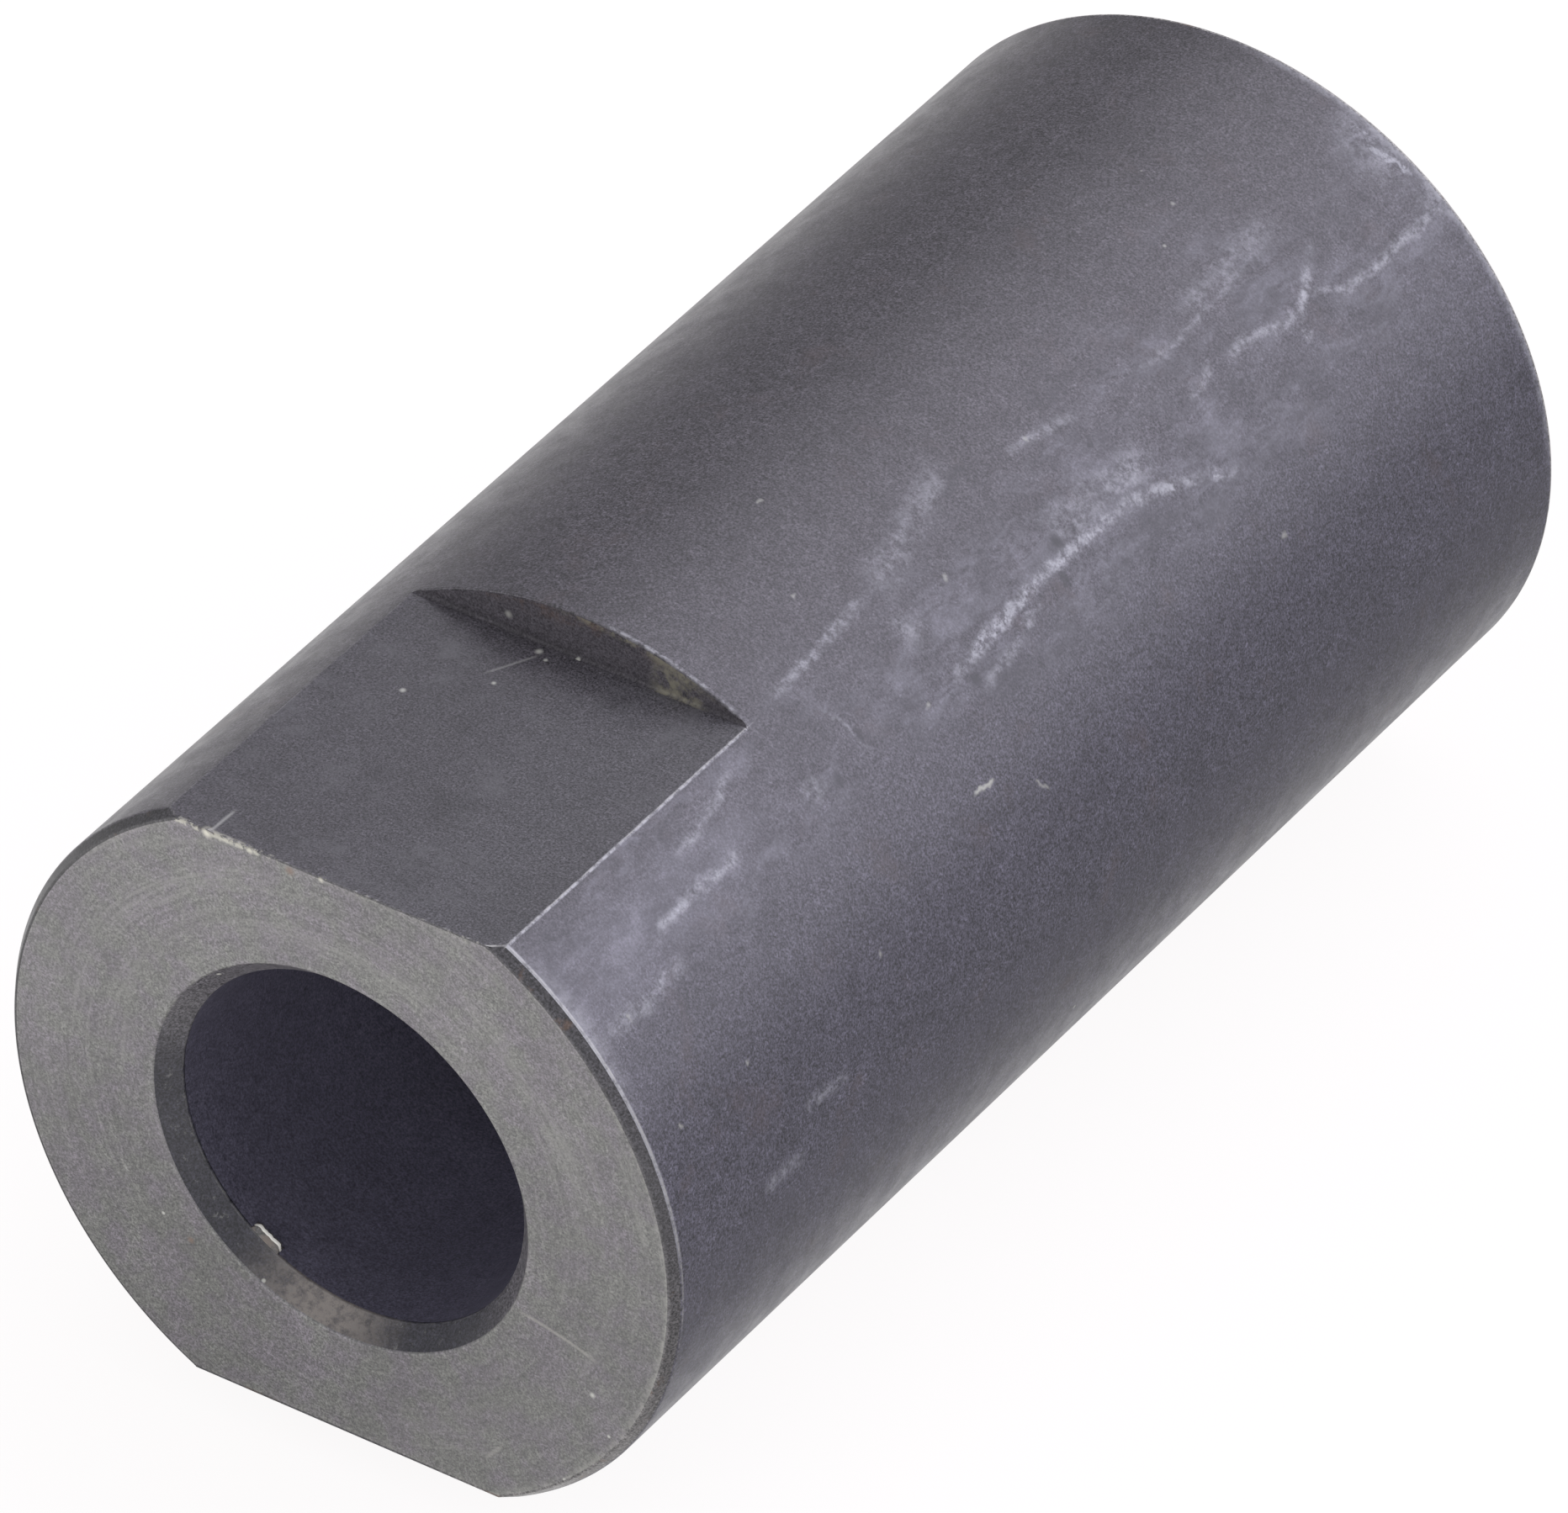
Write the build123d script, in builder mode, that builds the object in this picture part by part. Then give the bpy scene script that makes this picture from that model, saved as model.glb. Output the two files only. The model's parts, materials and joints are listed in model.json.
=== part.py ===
"""Rigid sleeve coupling, in millimetres: one steel sleeve, turned all over and milled with two wrench flats.

The bore's axis lies along Y, with the origin on it at the middle of the length.
The wrench flats are at the -Y end and face +Z and -Z.
"""

import os

from build123d import *

# Turned sleeve
outer_diameter = 30.0
length = 60.5
bore_diameter = 15.3
mouth_diameter = 16.9
mouth_depth = 0.9

# Small chamfers on the outer rims
flats_end_chamfer_radial = 0.30
flats_end_chamfer_axial = 0.45
plain_end_chamfer = 0.40

# Wrench flats
across_flats = 26.0
flats_length = 16.0
step_fillet = 0.15

# How far the milling cut runs past the turned surface, so that it leaves no skin
cutter_overrun = 2.0

outer_radius = outer_diameter / 2
bore_radius = bore_diameter / 2
mouth_radius = mouth_diameter / 2
flats_end = -length / 2
plain_end = length / 2
step_y = flats_end + flats_length
flat_z = across_flats / 2

os.makedirs("parts", exist_ok=True)

with BuildPart() as coupling_sleeve:
    # Half section through the axis: X is the radius, Y runs along the bore
    with BuildSketch(Plane.XY):
        with BuildLine():
            Polyline(
                (bore_radius, flats_end + mouth_depth),
                (mouth_radius, flats_end),
                (outer_radius - flats_end_chamfer_radial, flats_end),
                (outer_radius, flats_end + flats_end_chamfer_axial),
                (outer_radius, plain_end - plain_end_chamfer),
                (outer_radius - plain_end_chamfer, plain_end),
                (mouth_radius, plain_end),
                (bore_radius, plain_end - mouth_depth),
                close=True,
            )
        make_face()
    revolve(axis=Axis.Y)

    # Side view of the two milled cuts, one above and one below, each ending in a step with a filleted foot
    with BuildSketch(Plane.YZ):
        with BuildLine():
            Polyline(
                (flats_end - cutter_overrun, flat_z),
                (step_y, flat_z),
                (step_y, outer_radius + cutter_overrun),
                (flats_end - cutter_overrun, outer_radius + cutter_overrun),
                close=True,
            )
        make_face()
        fillet(vertices().group_by(Axis.X)[-1].sort_by(Axis.Y)[0], radius=step_fillet)
        mirror(about=Plane.XZ)
    extrude(amount=outer_radius + cutter_overrun, both=True, mode=Mode.SUBTRACT)

coupling_sleeve.part.label = "coupling_sleeve"
export_step(coupling_sleeve.part, "parts/coupling_sleeve.step")
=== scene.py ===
"""Looks for the rigid sleeve coupling: one blackened steel sleeve lying on a plain pale floor.

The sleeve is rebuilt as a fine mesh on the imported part's own sizes, with eased edges and small burrs.
The frame is the CAD part's: Y runs along the bore from the wrench-flat end, and the flats face +Z and -Z.
The mesh is in metres, so its sizes are millimetres times MM. The materials take places in millimetres.
"""

import json
import math

import bmesh
import bpy
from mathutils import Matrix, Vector, noise


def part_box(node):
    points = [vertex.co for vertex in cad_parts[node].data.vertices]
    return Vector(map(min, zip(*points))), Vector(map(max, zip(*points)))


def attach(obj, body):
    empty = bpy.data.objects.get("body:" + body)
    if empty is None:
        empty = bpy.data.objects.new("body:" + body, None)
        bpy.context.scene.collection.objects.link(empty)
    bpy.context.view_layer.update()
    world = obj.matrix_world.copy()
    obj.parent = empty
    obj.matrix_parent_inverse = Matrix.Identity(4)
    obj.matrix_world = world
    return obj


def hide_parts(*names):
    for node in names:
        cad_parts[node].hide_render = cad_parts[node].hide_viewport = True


MM = 0.001

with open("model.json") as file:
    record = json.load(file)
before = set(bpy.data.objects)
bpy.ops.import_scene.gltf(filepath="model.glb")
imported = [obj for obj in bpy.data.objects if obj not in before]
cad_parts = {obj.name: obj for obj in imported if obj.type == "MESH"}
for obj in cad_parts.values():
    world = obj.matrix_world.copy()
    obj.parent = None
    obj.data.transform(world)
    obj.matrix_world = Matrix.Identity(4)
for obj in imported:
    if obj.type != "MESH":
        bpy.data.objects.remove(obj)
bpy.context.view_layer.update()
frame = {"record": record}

# Driving sizes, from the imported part
mounts = {m["name"]: m for m in frame["record"]["mounts"]}
sleeve_low, sleeve_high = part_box("coupling_sleeve")
OUTER_R = sleeve_high.x
FLATS_END = sleeve_low.y
PLAIN_END = sleeve_high.y
BORE_R = mounts["flats_end_bore"]["dims"]["r_mm"] * MM
MOUTH_DEPTH = mounts["flats_end_bore"]["pos_m"][1] - FLATS_END
FLAT_Z = mounts["upper_wrench_flat"]["pos_m"][2]
STEP_Y = 2 * mounts["upper_wrench_flat"]["pos_m"][1] - FLATS_END
FLAT_EDGE = math.degrees(math.asin(FLAT_Z / OUTER_R))

# The same sizes in millimetres, for the materials
OUTER_MM = OUTER_R / MM
FRONT_MM = FLATS_END / MM
LENGTH_MM = (PLAIN_END - FLATS_END) / MM
FLAT_MM = FLAT_Z / MM
STEP_MM = STEP_Y / MM
FLAT_HALF_WIDTH_MM = math.sqrt(OUTER_MM**2 - FLAT_MM**2)

# Small features that the record has no key for
MOUTH_R = 8.45 * MM
FRONT_CHAMFER_R = 0.30 * MM
FRONT_CHAMFER_Y = 0.45 * MM
BACK_CHAMFER = 0.40 * MM
STEP_FILLET = 0.15 * MM

# How far the corners are worn round, and how bare the face's rim is
EDGE_WEAR = 0.06 * MM
SIDE_EDGE_WEAR = 0.012 * MM
FACE_RIM_WEAR = 0.2

# The burr along the upper flat's front edge: its tallest peaks, each as place across, width and height in mm
BURR_PEAKS = ((-5.4, 0.20, 0.16), (-4.6, 0.12, 0.08), (-3.9, 0.15, 0.07))

# Shared colours, linear RGB
DUST = (0.46, 0.46, 0.42)
BARE_STEEL = (0.52, 0.51, 0.50)
RUST = (0.15, 0.085, 0.05)
TAN = (0.25, 0.235, 0.18)
BURR = (0.62, 0.60, 0.50)
PIT = (0.022, 0.022, 0.027)

# Oxide on each surface, and what shows where it is rubbed
BARREL_TOP = (0.069, 0.063, 0.074)
# The next colour is the right side's bluer oxide, also painted a little lighter as light.
BARREL_SIDE_BLUER_AND_LIT = (0.076, 0.072, 0.095)
BARREL_STAIN = (0.088, 0.064, 0.066)
BARREL_SMEAR = (0.044, 0.042, 0.052)
BARREL_RUBBED = (0.165, 0.161, 0.192)
BARREL_SCUFF = (0.36, 0.36, 0.40)
# The next colour is rubbed metal on worn edges, and also a painted highlight behind the front rim and a
# painted reflection at the far rim.
BARREL_EDGE = (0.48, 0.48, 0.52)
FACE_VIOLET = (0.109, 0.095, 0.112)
FACE_GREEN = (0.098, 0.099, 0.090)
FACE_BRUSHED = (0.215, 0.211, 0.198)
FACE_RIM = (0.27, 0.265, 0.24)
FACE_SCRATCH = (0.30, 0.29, 0.26)
FLAT_LEFT = (0.069, 0.064, 0.074)
FLAT_RIGHT = (0.077, 0.073, 0.083)
FLAT_HAZE = (0.115, 0.112, 0.122)
FLAT_SCRATCH = (0.45, 0.45, 0.43)
FLAT_SIDE_EDGE = (0.46, 0.46, 0.49)
STEP_WALL = (0.084, 0.077, 0.088)
CHAMFER_DARK = (0.030, 0.029, 0.031)
CHAMFER_TOP = (0.054, 0.051, 0.057)
CHAMFER_LOW = (0.140, 0.133, 0.131)
# The next colour is a painted reflection of the bright backdrop on the plain end's chamfer.
CHAMFER_BACK_REFLECTION = (0.30, 0.29, 0.28)
MOUTH_DARK = (0.029, 0.028, 0.038)
MOUTH_RIGHT = (0.108, 0.102, 0.111)
MOUTH_PALE = (0.235, 0.210, 0.190)
MOUTH_GRIT = (0.17, 0.17, 0.165)
BORE_WALL = (0.103, 0.098, 0.134)
BURR_DARK = (0.075, 0.07, 0.07)
BURR_BROWN = (0.14, 0.11, 0.09)
# The next colour is bare metal, painted near white as a highlight.
BURR_CREST_BARE_AND_HIGHLIGHT = (0.95, 0.93, 0.86)

# Studio light by direction: an even grey, more from the front, and a key light from above and behind on
# the right. The key's spread is the cosine from its middle where it starts, and where it is full.
STUDIO_GREY = 0.34
STUDIO_FRONT = 1.0
STUDIO_TINT = (1.0, 1.0, 1.03)
KEY = 1.25
KEY_WAY = (0.43, 0.66, 0.62)
KEY_SPREAD = (0.42, 1.0)
KEY_TINT = (0.98, 0.96, 1.10)

# The floor: half its side in metres, and how it glows, to the eye and by place as light on the sleeve
FLOOR_HALF_SIDE = 3.0
FLOOR_GREY = (0.12, 0.12, 0.12)
FLOOR_TINT = (1.0, 0.985, 0.985)
GLOW_SEEN = 0.92
GLOW_BESIDE = 0.95
GLOW_FAR_LEFT = 0.47
GLOW_RIGHT = 0.28
GLOW_FRONT = 1.25

# Where the front glow starts and is full, and a painted shadow of the sleeve: the patch before the front
# face where the glow is dimmed, in mm
FRONT_GLOW_Y = (-26.0, -66.0)
SHADOW_PATCH_MIDDLE = (-12.0, FRONT_MM - 7.0, 0.0)
SHADOW_PATCH_REACH = (5.0, 25.0)
SHADOW_PATCH_SHARE = 0.64

# A long lens, its place counted in the sleeve's radii
CAMERA_LENS = 396.15
CAMERA_PLACE = (19.40292, -28.56, 26.57555)
CAMERA_TURN = (52.3619, 0.4015, 33.9411)


# ---------------------------------------------------------------- small helpers


def add(obj):
    bpy.context.scene.collection.objects.link(obj)
    return obj


def bell(x, middle, width):
    """1 at the middle, falling to almost nothing two widths away."""
    return math.exp(-(((x - middle) / width) ** 2))


def soft_min(a, b, width):
    """The smaller of two lengths, with the corner between them rounded over about width."""
    return 0.5 * (a + b - math.sqrt((a - b) ** 2 + width**2))


# ---------------------------------------------------------------- the sleeve's mesh

ZONES = ["mouth", "face", "chamfer", "flat", "step", "barrel", "bore"]


def eased(corner, before, after):
    """A section's corner as a short worn arc with a guard point on each side: (point, how worn) pairs."""
    way_in, way_out = before - corner, after - corner
    start = corner + way_in.normalized() * min(EDGE_WEAR, 0.4 * way_in.length)
    end = corner + way_out.normalized() * min(EDGE_WEAR, 0.4 * way_out.length)
    points = [(corner.lerp(start, 1.6), 0.0)]
    for i in range(5):
        t = i / 4
        arc = start * (1 - t) ** 2 + corner * 2 * t * (1 - t) + end * t**2
        points.append((arc, 0.2 if i in (0, 4) else 1.0))
    points.append((corner.lerp(end, 1.6), 0.0))
    return points


def burr_height(x):
    """How far the milling burr stands up along the flat's front edge, x being the place across the flat."""
    across = x / MM
    grains = max(0.0, noise.noise(Vector((across * 5.0, 8.2, 1.4))) - 0.05)
    clumps = 0.3 + max(0.0, noise.noise(Vector((across * 0.9, 3.1, 0.4))) + 0.2)
    heavier = 1.0 + 1.2 * bell(across, -4.2, 1.8)
    peaks = sum(height * bell(across, middle, width) for middle, width, height in BURR_PEAKS)
    return (0.008 + 0.16 * grains * clumps * heavier + peaks) * MM


def front_rim(angle, cut):
    """The front rim at one angle, cut being the radius there: four points, and how worn its two corners are.

    The points are one on the face, the face's corner, the barrel's corner and one behind it. Where a flat
    has cut the chamfer away, both corners are one point, which the milling burr lifts on the upper flat.
    """
    face_r = min(cut, OUTER_R - FRONT_CHAMFER_R)
    face_corner = Vector((face_r, FLATS_END))
    on_face = face_corner - Vector((0.3 * MM, 0))
    if cut < OUTER_R - FRONT_CHAMFER_R:
        lift = burr_height(cut * math.cos(angle)) if math.sin(angle) > 0 else 0.0
        crest = face_corner + Vector((0.7 * lift, -0.5 * lift))
        behind = Vector((cut, FLATS_END + 0.2 * MM))
        wear = min(1.0, 0.1 + lift / (0.07 * MM))
        return on_face, crest, crest.copy(), behind, wear, wear
    rim_y = FLATS_END + FRONT_CHAMFER_Y * (cut - face_r) / FRONT_CHAMFER_R
    behind = Vector((cut, FLATS_END + 0.8 * MM))
    return on_face, face_corner, Vector((cut, rim_y)), behind, FACE_RIM_WEAR, 1.0


def section(angle):
    """The sleeve's closed section at one angle round the axis, from the front mouth round to the bore.

    Each row is the radius and y of a point, how worn it is, and the zone of the strip up to the next row.
    """
    height = max(abs(math.sin(angle)), 1e-6)
    cut = soft_min(OUTER_R, FLAT_Z / height, SIDE_EDGE_WEAR)
    rise = (OUTER_R - cut) * height
    turn = math.acos(1 - min(rise, STEP_FILLET) / STEP_FILLET)
    foot_y = STEP_Y - STEP_FILLET

    front_bore = Vector((BORE_R, FLATS_END + MOUTH_DEPTH))
    front_mouth = Vector((MOUTH_R, FLATS_END))
    on_face, face_rim, barrel_rim, behind_rim, face_wear, barrel_wear = front_rim(angle, cut)
    foot = Vector((cut, foot_y))
    step_top = Vector((OUTER_R, foot_y + STEP_FILLET * math.sin(turn)))
    back_rim = Vector((OUTER_R, PLAIN_END - BACK_CHAMFER))
    back_face = Vector((OUTER_R - BACK_CHAMFER, PLAIN_END))
    back_mouth = Vector((MOUTH_R, PLAIN_END))
    back_bore = Vector((BORE_R, PLAIN_END - MOUTH_DEPTH))

    rows = []

    def corner(point, before, after, zone, wear=1.0):
        rows.extend((p, worn * wear, zone) for p, worn in eased(point, before, after))

    def run(start, end, parts, zone):
        rows.extend((start.lerp(end, i / parts), 0.0, zone) for i in range(1, parts))

    corner(front_bore, back_bore, front_mouth, "mouth")
    corner(front_mouth, front_bore, on_face, "face", 0.5)
    run(front_mouth, on_face, 10, "face")
    rows.append((on_face, 0.0, "face"))
    corner(face_rim, on_face, barrel_rim, "chamfer", face_wear)
    corner(barrel_rim, face_rim, behind_rim, "barrel", barrel_wear)
    rows.append((behind_rim, 0.0, "barrel"))
    run(behind_rim, foot, 16, "barrel")
    for i in range(7):
        a = turn * i / 6
        up = Vector((STEP_FILLET * (1 - math.cos(a)) / height, STEP_FILLET * math.sin(a)))
        rows.append((foot + up, 0.0, "step"))
    corner(step_top, rows[-1][0], back_rim, "barrel", 0.35 * min(1.0, rise / STEP_FILLET))
    run(step_top, back_rim, 40, "barrel")
    corner(back_rim, step_top, back_face, "chamfer")
    corner(back_face, back_rim, back_mouth, "face")
    run(back_face, back_mouth, 8, "face")
    corner(back_mouth, back_face, back_bore, "mouth")
    corner(back_bore, back_mouth, front_bore, "bore")
    run(back_bore, front_bore, 40, "bore")
    return rows


def column_angles():
    """Angles of the mesh's columns in degrees: close together over the flats, closest at their edges."""
    guards = [math.degrees(g * MM / OUTER_R) for g in (0, 0.02, 0.04, 0.07, 0.11, 0.2)]
    found = set()
    for turn in (0, 180):
        for edge in (turn + FLAT_EDGE, turn + 180 - FLAT_EDGE):
            found.update([edge + g for g in guards] + [edge - g for g in guards])
        found.update(turn + FLAT_EDGE + (180 - 2 * FLAT_EDGE) * i / 260 for i in range(261))
        found.update(turn - FLAT_EDGE + 2 * FLAT_EDGE * i / 160 for i in range(161))
    spaced = []
    for angle in sorted(a % 360 for a in found):
        if not spaced or angle - spaced[-1] > 0.05:
            spaced.append(angle)
    return spaced


def over_flat(angle):
    return abs(angle % 180 - 90) < 90 - FLAT_EDGE


def sleeve_points(angles, columns):
    """The mesh's points, column by column, and how worn each one is."""
    verts, worn = [], []
    for angle, rows in zip(angles, columns):
        a = math.radians(angle)
        from_edge = math.radians(abs(abs(angle % 180 - 90) - (90 - FLAT_EDGE))) * OUTER_R
        side_wear = max(0.0, 1 - from_edge / EDGE_WEAR)
        for p, wear, _ in rows:
            verts.append((p.x * math.cos(a), p.y, p.x * math.sin(a)))
            on_side = p.x > OUTER_R - 0.1 * MM and p.y < STEP_Y
            worn.append(max(wear, side_wear if on_side else 0.0))
    return verts, worn


def sleeve_faces(angles, columns):
    """Four-sided faces between neighbouring columns, and the number of each face's zone."""
    count = len(columns[0])
    faces, zones = [], []
    for i, angle in enumerate(angles):
        following = angles[(i + 1) % len(angles)] + (360 if i + 1 == len(angles) else 0)
        flat_column = over_flat((angle + following) / 2)
        here, there = i * count, (i + 1) % len(angles) * count
        for k, (p, _, zone) in enumerate(columns[i]):
            above = (k + 1) % count
            faces.append((here + k, here + above, there + above, there + k))
            if zone == "barrel" and flat_column and p.y < STEP_Y - STEP_FILLET * 1.01:
                zone = "flat"
            zones.append(ZONES.index(zone))
    return faces, zones


def sleeve_mesh():
    """The sleeve as one closed mesh, with a material for each zone and each point's wear as an attribute."""
    angles = column_angles()
    columns = [section(math.radians(angle)) for angle in angles]
    verts, worn = sleeve_points(angles, columns)
    faces, zones = sleeve_faces(angles, columns)
    mesh = bpy.data.meshes.new("sleeve")
    mesh.from_pydata(verts, [], faces)
    mesh.attributes.new("worn_edge", "FLOAT", "POINT").data.foreach_set("value", worn)
    mesh.polygons.foreach_set("material_index", zones)
    return mesh


def clean(mesh):
    """Merges points that fall together where the flats run out, turns faces outwards, shades them smooth."""
    bm = bmesh.new()
    bm.from_mesh(mesh)
    bmesh.ops.remove_doubles(bm, verts=bm.verts, dist=0.0005 * MM)
    bmesh.ops.dissolve_degenerate(bm, edges=bm.edges, dist=0.0002 * MM)
    bmesh.ops.recalc_face_normals(bm, faces=bm.faces)
    bm.to_mesh(mesh)
    bm.free()
    mesh.polygons.foreach_set("use_smooth", [True] * len(mesh.polygons))


# ---------------------------------------------------------------- the burr in the mouth


def mouth_burr_mesh():
    """A sliver of steel left standing inwards where the mouth's chamfer meets the bore."""
    # Its first and last angle round the bore in degrees, and how many parts it is made in
    first, last, parts = 231.4, 241.8, 26
    # Round the sliver: share of its height, and depth behind the face in mm
    up_the_front = [(-0.1, 0.86), (0.0, 0.92), (0.4, 0.98), (0.75, 1.06)]
    down_the_back = [(1.0, 1.16), (0.9, 1.24), (0.0, 1.36), (-0.1, 1.4)]
    profile = up_the_front + down_the_back
    crest = len(up_the_front) - 1
    verts, faces, slots = [], [], []
    for i in range(parts + 1):
        along = i / parts
        a = math.radians(first + (last - first) * along)
        ragged = 0.03 * noise.noise(Vector((along * 9, 2.2, 0)))
        tall = (0.25 + 0.05 * along + ragged) * min(1, 8 * along + 0.25, 7 * (1 - along) + 0.2)
        for share, depth in profile:
            r = BORE_R - (share * tall if share > 0 else share) * MM
            y = FLATS_END + (depth + ragged * share) * MM
            verts.append((r * math.cos(a), y, r * math.sin(a)))
    n = len(profile)
    for i in range(parts):
        for k in range(n):
            m = (k + 1) % n
            faces.append((i * n + k, i * n + m, (i + 1) * n + m, (i + 1) * n + k))
            slots.append(1 if k == crest else 0)
    faces += [tuple(range(n)), tuple(range(parts * n, parts * n + n))]
    slots += [0, 0]
    mesh = bpy.data.meshes.new("mouth_burr")
    mesh.from_pydata(verts, [], faces)
    mesh.polygons.foreach_set("material_index", slots)
    return mesh


# ---------------------------------------------------------------- shader nodes


class Nodes:
    """A node tree, with short calls for the nodes that this scene uses."""

    def __init__(self, tree):
        self.tree = tree

    def node(self, kind, inputs=None, **settings):
        made = self.tree.nodes.new(kind)
        for key, value in settings.items():
            setattr(made, key, value)
        for key, value in (inputs or {}).items():
            if isinstance(value, bpy.types.NodeSocket):
                self.tree.links.new(value, made.inputs[key])
            else:
                made.inputs[key].default_value = value
        return made

    def math(self, operation, *values):
        return self.node("ShaderNodeMath", dict(enumerate(values)), operation=operation).outputs[0]

    def chain(self, operation, values):
        """One operation over a whole list, two at a time."""
        total = values[0]
        for value in values[1:]:
            total = self.math(operation, total, value)
        return total

    def times(self, *factors):
        return self.chain("MULTIPLY", factors)

    def greatest(self, *masks):
        return self.chain("MAXIMUM", masks)

    def vector(self, operation, *values, **named):
        inputs = {**dict(enumerate(values)), **named}
        made = self.node("ShaderNodeVectorMath", inputs, operation=operation)
        return made.outputs["Value" if operation in ("DOT_PRODUCT", "LENGTH") else "Vector"]

    def combined(self, x, y):
        return self.node("ShaderNodeCombineXYZ", {0: x, 1: y}).outputs[0]

    def ramp(self, value, low, high, out_low=0.0, out_high=1.0):
        """Smoothly from out_low to out_high as value goes from low to high."""
        inputs = {0: value, 1: low, 2: high, 3: out_low, 4: out_high}
        return self.node("ShaderNodeMapRange", inputs, interpolation_type="SMOOTHSTEP").outputs[0]

    def window(self, value, low, high, soft):
        """1 between low and high, with soft sides."""
        rising = self.ramp(value, low - soft, low + soft)
        falling = self.ramp(value, high - soft, high + soft, 1, 0)
        return self.times(rising, falling)

    def mix(self, share, a, b):
        made = self.node("ShaderNodeMix", {"Factor": share}, data_type="RGBA")
        for socket, value in ((made.inputs[6], a), (made.inputs[7], b)):
            if isinstance(value, bpy.types.NodeSocket):
                self.tree.links.new(value, socket)
            else:
                socket.default_value = (*value, 1)
        return made.outputs[2]

    def scaled(self, color, factor):
        """A colour times a number."""
        return self.vector("SCALE", color, Scale=factor)


class Shader(Nodes):
    """One material's nodes. Places are in millimetres on the object."""

    def __init__(self, name):
        self.material = bpy.data.materials.new(name)
        self.material.use_nodes = True
        super().__init__(self.material.node_tree)
        self.surface = self.tree.nodes["Principled BSDF"]
        metres = self.node("ShaderNodeTexCoord").outputs["Object"]
        self.place = self.vector("SCALE", metres, Scale=1 / MM)
        parts = self.node("ShaderNodeSeparateXYZ", {0: self.place}).outputs
        self.x, self.y, self.z = parts[0], parts[1], parts[2]
        self.from_end = self.math("SUBTRACT", self.y, FRONT_MM)

    def feed(self, name, value):
        """Links a value to one of the surface's inputs."""
        self.tree.links.new(value, self.surface.inputs[name])

    def set(self, name, value):
        """Gives one of the surface's inputs a constant."""
        self.surface.inputs[name].default_value = value

    def noise(self, scale, detail=3, rough=0.55, at=None, **settings):
        inputs = {"Vector": at or self.place, "Scale": scale, "Detail": detail, "Roughness": rough}
        return self.node("ShaderNodeTexNoise", {**inputs, **settings}).outputs[0]

    def stretched(self, x, y, z):
        """The place with each way scaled, so that noise on it is drawn out."""
        return self.vector("MULTIPLY", self.place, (x, y, z))

    def moved(self, place, x):
        """A place moved far along X, so that noise on it differs from noise of the same scale elsewhere."""
        return self.vector("ADD", place, (x, 0, 0))

    def degrees_round(self, sine, cosine):
        """The angle round the bore's axis in degrees, 0 towards cosine and 90 towards sine."""
        return self.times(self.math("ARCTAN2", sine, cosine), math.degrees(1))


def specks(s, spacing, size, share):
    """Sparse bright dust: a dot in some cells of a loose pattern, each of its own size."""
    cell = s.node("ShaderNodeTexVoronoi", {"Vector": s.place, "Scale": 1 / spacing})
    pick = s.node("ShaderNodeSeparateColor", {0: cell.outputs["Color"]}).outputs[0]
    reach = s.times(s.ramp(pick, 1 - share, 1.0), size / spacing)
    return s.ramp(s.math("SUBTRACT", reach, cell.outputs["Distance"]), 0.0, 0.5 * size / spacing)


def dot(s, place, middle, size):
    """One soft round spot, size being its radius. The middle has two parts on an unrolled surface."""
    away = s.vector("LENGTH", s.vector("SUBTRACT", place, Vector(middle).to_3d()))
    return s.ramp(away, 0.1 * size, 1.1 * size, 1, 0)


def stroke(s, place, middle, way, half_length, width, bend=0.0):
    """A scratch on an unrolled surface: 1 along a slightly bent line, fading sideways and to its ends.

    The way is its angle in degrees.
    """
    turned = math.radians(way)
    off = s.vector("SUBTRACT", place, (*middle, 0))
    along = s.vector("DOT_PRODUCT", off, (math.cos(turned), math.sin(turned), 0))
    across = s.vector("DOT_PRODUCT", off, (-math.sin(turned), math.cos(turned), 0))
    if bend:
        across = s.math("SUBTRACT", across, s.times(along, along, bend))
    thin = s.ramp(s.math("ABSOLUTE", across), 0.0, width, 1, 0)
    ends = s.ramp(s.math("ABSOLUTE", along), 0.55 * half_length, half_length, 1, 0)
    return s.times(thin, ends)


# ---------------------------------------------------------------- what every oxide surface shares


def mottled(s, color, deep=1.0):
    """Oxide colour with cloudy patches, mottling and grain, all the stronger for a greater depth."""
    layers = ((0.13, 4, 0.10), (1.3, 5, 0.16), (5.0, 3, 0.35), (11.0, 2, 0.85))
    shades = [
        s.ramp(s.noise(scale, detail, 0.7), 0.25, 0.75, 1 - reach * deep, 1 + reach * deep)
        for scale, detail, reach in layers
    ]
    return s.scaled(color, s.times(*shades))


def fine_grain(s):
    return s.math("ADD", s.noise(5.0, 4, 0.7), s.times(s.noise(16.0, 2), 0.6))


def finish_oxide(s, color, bare=None, dust=None, bump=None, roughness=0.36, ior=1.75):
    """Puts the oxide, the bare metal and the dust on the surface, with the bump under all of them."""
    if bare is not None:
        color = s.mix(bare, color, BARE_STEEL)
        s.feed("Metallic", s.times(bare, 0.7))
    if dust is not None:
        color = s.mix(dust, color, DUST)
    s.feed("Base Color", color)
    s.feed("Roughness", s.ramp(s.noise(0.9, 4, 0.6), 0.3, 0.7, roughness - 0.04, roughness + 0.05))
    s.set("IOR", ior)
    relief = {"Height": bump or fine_grain(s), "Strength": 0.35, "Distance": 0.02 * MM}
    s.feed("Normal", s.node("ShaderNodeBump", relief).outputs[0])
    return s.material


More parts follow.
